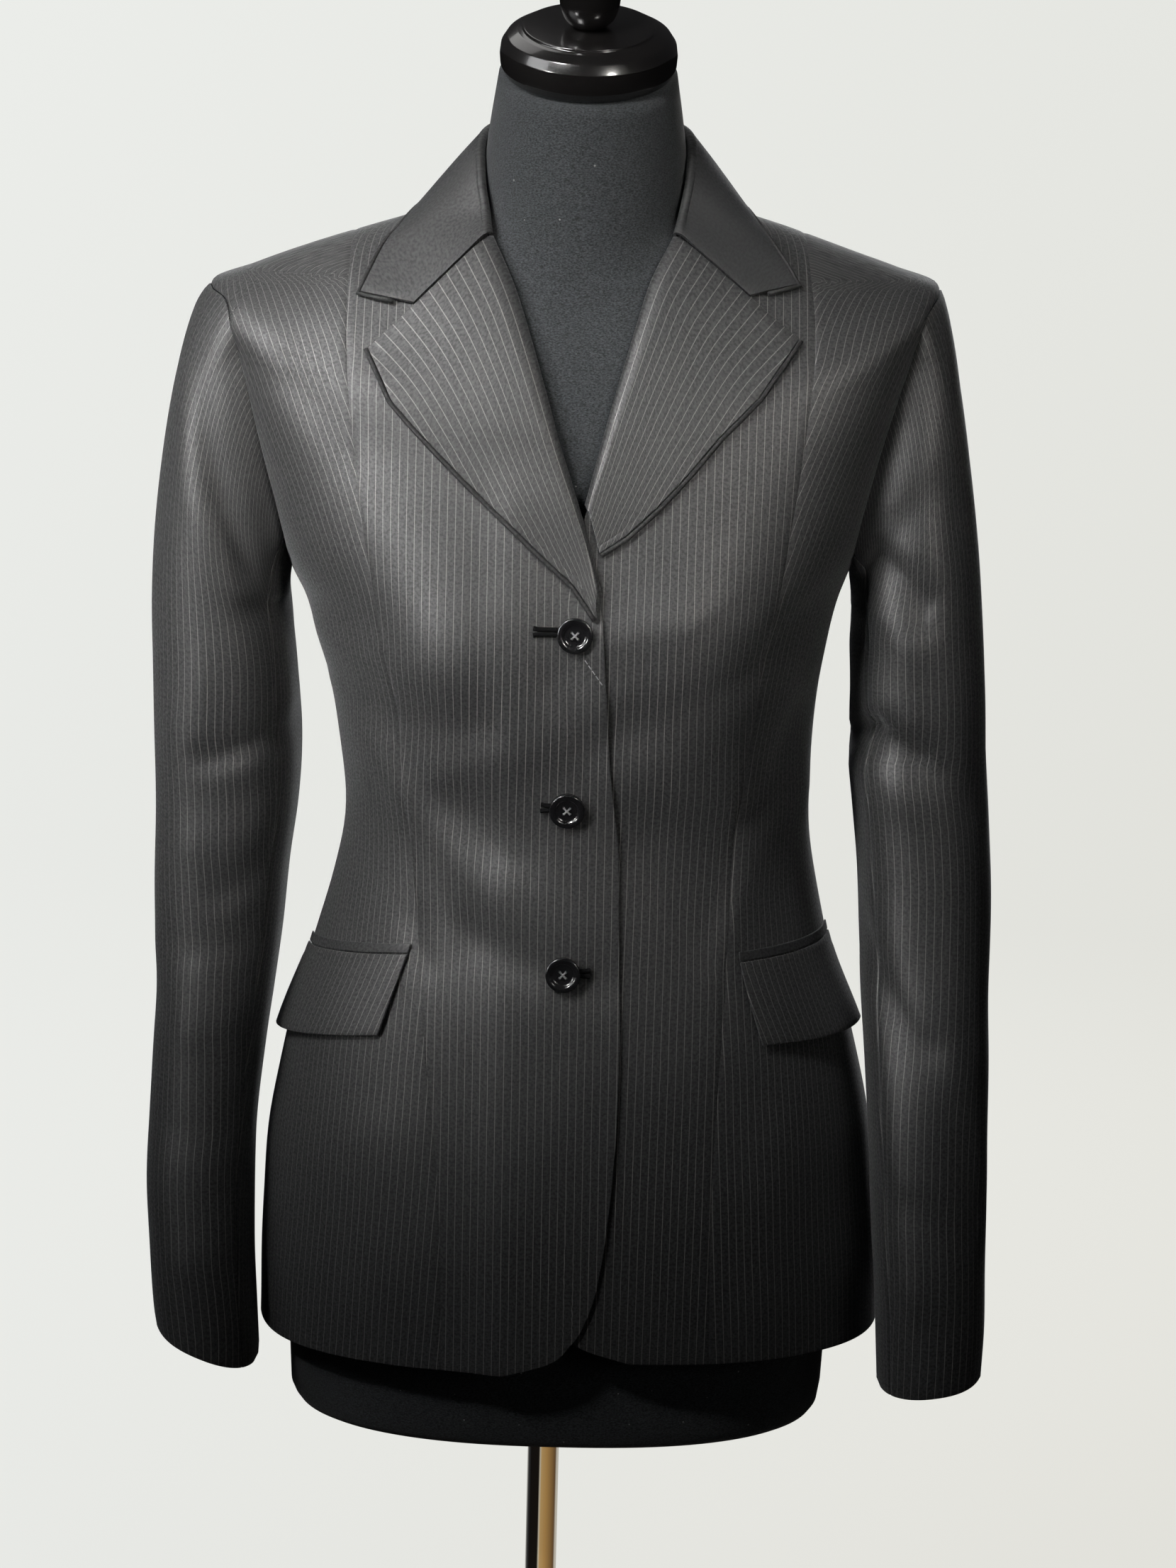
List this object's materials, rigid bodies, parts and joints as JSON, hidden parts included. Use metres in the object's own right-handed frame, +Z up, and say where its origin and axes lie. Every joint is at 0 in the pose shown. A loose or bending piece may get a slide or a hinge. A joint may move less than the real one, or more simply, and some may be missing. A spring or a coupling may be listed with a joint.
{
  "type": "equestrian show coat on a dress form",
  "caption": "Fitted striped riding coat with notched collar, flap pockets and buttoned front, worn on a limbless dress form with a pole and round foot.",
  "frame": {"origin": "middle of the foot's flat underside, on the floor, on the pole's axis", "axes": "+Z up along the pole; -Y the way the wearer faces, so the buttons are at -Y; +X towards the wearer's left"},
  "size_m": [0.4854, 0.33, 1.3046],
  "materials": {
    "back_left": "fine worsted, satin sheen, thin pale grey stripes",
    "back_right": "fine worsted, satin sheen, thin pale grey stripes",
    "button_1": "gloss",
    "button_2": "gloss",
    "button_3": "gloss",
    "collar": "plain dark cloth, satin sheen",
    "dress_form": "matt knitted jersey over a moulded torso",
    "finial": "gloss lacquer",
    "flap_left": "fine worsted, satin sheen, thin pale grey stripes",
    "flap_right": "fine worsted, satin sheen, thin pale grey stripes",
    "foot": "polished",
    "front_left": "fine worsted, satin sheen, thin pale grey stripes",
    "front_right": "fine worsted, satin sheen, thin pale grey stripes",
    "lapel_left": "fine worsted, satin sheen, thin pale grey stripes",
    "lapel_right": "fine worsted, satin sheen, thin pale grey stripes",
    "neck_cap": "gloss lacquer",
    "piping_collar": "plain dark cloth, satin sheen",
    "piping_lapel_left": "plain dark cloth, satin sheen",
    "piping_lapel_right": "plain dark cloth, satin sheen",
    "pole": "polished",
    "side_back_left": "fine worsted, satin sheen, thin pale grey stripes",
    "side_back_right": "fine worsted, satin sheen, thin pale grey stripes",
    "side_front_left": "fine worsted, satin sheen, thin pale grey stripes",
    "side_front_right": "fine worsted, satin sheen, thin pale grey stripes",
    "top_sleeve_left": "fine worsted, satin sheen, thin pale grey stripes",
    "top_sleeve_right": "fine worsted, satin sheen, thin pale grey stripes",
    "under_sleeve_left": "fine worsted, satin sheen, thin pale grey stripes",
    "under_sleeve_right": "fine worsted, satin sheen, thin pale grey stripes",
    "welt_left": "plain dark cloth, satin sheen",
    "welt_right": "plain dark cloth, satin sheen"
  },
  "bodies": {
    "root": {"back_left": "back_left", "back_right": "back_right", "button_1": "button_1", "button_2": "button_2", "button_3": "button_3", "collar": "collar", "dress_form": "dress_form", "finial": "finial", "flap_left": "flap_left", "flap_right": "flap_right", "foot": "foot", "front_left": "front_left", "front_right": "front_right", "lapel_left": "lapel_left", "lapel_right": "lapel_right", "neck_cap": "neck_cap", "piping_collar": "piping_collar", "piping_lapel_left": "piping_lapel_left", "piping_lapel_right": "piping_lapel_right", "pole": "pole", "side_back_left": "side_back_left", "side_back_right": "side_back_right", "side_front_left": "side_front_left", "side_front_right": "side_front_right", "top_sleeve_left": "top_sleeve_left", "top_sleeve_right": "top_sleeve_right", "under_sleeve_left": "under_sleeve_left", "under_sleeve_right": "under_sleeve_right", "welt_left": "welt_left", "welt_right": "welt_right"}
  },
  "joints": []
}
